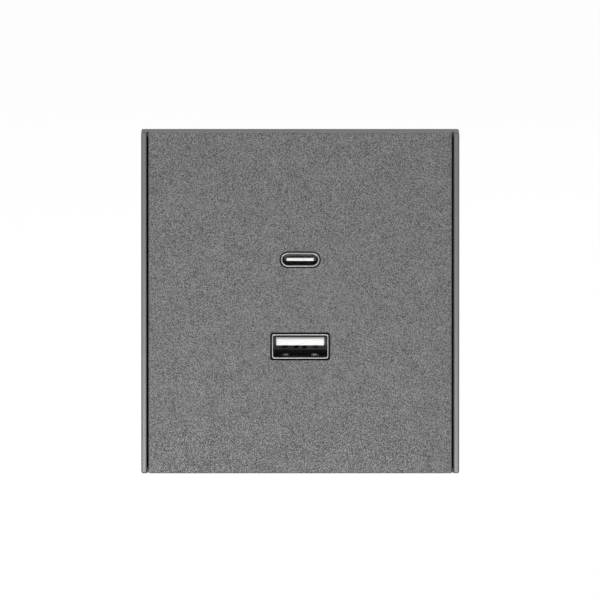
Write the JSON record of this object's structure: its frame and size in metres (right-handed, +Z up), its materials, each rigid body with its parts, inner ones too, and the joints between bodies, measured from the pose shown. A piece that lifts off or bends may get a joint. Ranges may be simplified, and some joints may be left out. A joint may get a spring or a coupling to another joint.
{
  "type": "usb wall socket",
  "caption": "Flush wall charger insert with square textured plate between two side flanks, a small oval and a wide rectangular outlet, and a round-cornered housing behind.",
  "frame": {"origin": "on the wall plane, at the device's axis: the middle of the 60 mm box screw spacing", "axes": "+Y into the wall, +Z up, +X to the right seen from the front"},
  "size_m": [0.0734, 0.0411, 0.079],
  "materials": {
    "textured_plate": "anthracite, fine grained paint",
    "satin_frame": "anthracite, smooth satin",
    "black_moulding": "black, fine matt",
    "zinc_steel": "zinc plated, rolled",
    "bright_shell": "bright nickel",
    "white_insulator": "white, smooth",
    "gold_contact": "gold flash",
    "brass_strip": "tinned brass",
    "spring_steel": "stainless, polished",
    "screw_steel": "zinc plated",
    "green_board": "green lacquer",
    "ferrite": "dark grey, ground",
    "copper_wire": "enamelled copper",
    "yellow_tape": "polyester tape",
    "can_sleeve": "shrunk dark sleeve over aluminium",
    "blue_dip": "dipped, glossy",
    "film_case": "yellow case",
    "fuse_body": "ceramic tube with metal caps",
    "terminal_grey": "grey polyamide",
    "button_orange": "orange polyamide"
  },
  "bodies": {
    "charger": {"front_plate": "textured_plate", "flank_frame": "satin_frame", "support_bracket": "zinc_steel", "insert_cover": "black_moulding", "cover_screws": "screw_steel", "rear_housing": "black_moulding", "usb_a_shell": "bright_shell", "usb_a_insulator": "white_insulator", "usb_a_contacts": "gold_contact", "usb_c_shell": "bright_shell", "usb_c_insulator": "white_insulator", "usb_c_contacts": "gold_contact", "port_board": "green_board", "power_board": "green_board", "link_base": "black_moulding", "link_pins": "gold_contact", "transformer_core": "ferrite", "transformer_bobbin": "black_moulding", "transformer_winding": "yellow_tape", "output_capacitor_1": "can_sleeve", "output_capacitor_2": "can_sleeve", "input_capacitor_1": "can_sleeve", "input_capacitor_2": "can_sleeve", "film_capacitor": "film_case", "safety_capacitor": "blue_dip", "varistor": "blue_dip", "choke_core": "ferrite", "choke_winding": "copper_wire", "fuse": "fuse_body", "switch_chip": "black_moulding", "outlet_chip_upper": "black_moulding", "outlet_chip_lower": "black_moulding", "bridge_rectifier": "black_moulding", "optocoupler": "white_insulator", "terminal_block": "terminal_grey", "terminal_lid": "terminal_grey", "busbar_live": "brass_strip", "busbar_neutral": "brass_strip", "clip_live": "spring_steel", "clip_neutral": "spring_steel"},
    "live_button": {"release_button_live": "button_orange"},
    "neutral_button": {"release_button_neutral": "button_orange"}
  },
  "joints": [
    {"name": "live_release", "type": "slide", "parent": "charger", "child": "live_button", "axis": [0, -1, 0], "range_m": [0, 0.0016], "stiffness_N_per_m": 1500, "deforming": ["clip_live"]},
    {"name": "neutral_release", "type": "slide", "parent": "charger", "child": "neutral_button", "axis": [0, -1, 0], "range_m": [0, 0.0016], "stiffness_N_per_m": 1500, "deforming": ["clip_neutral"]}
  ]
}
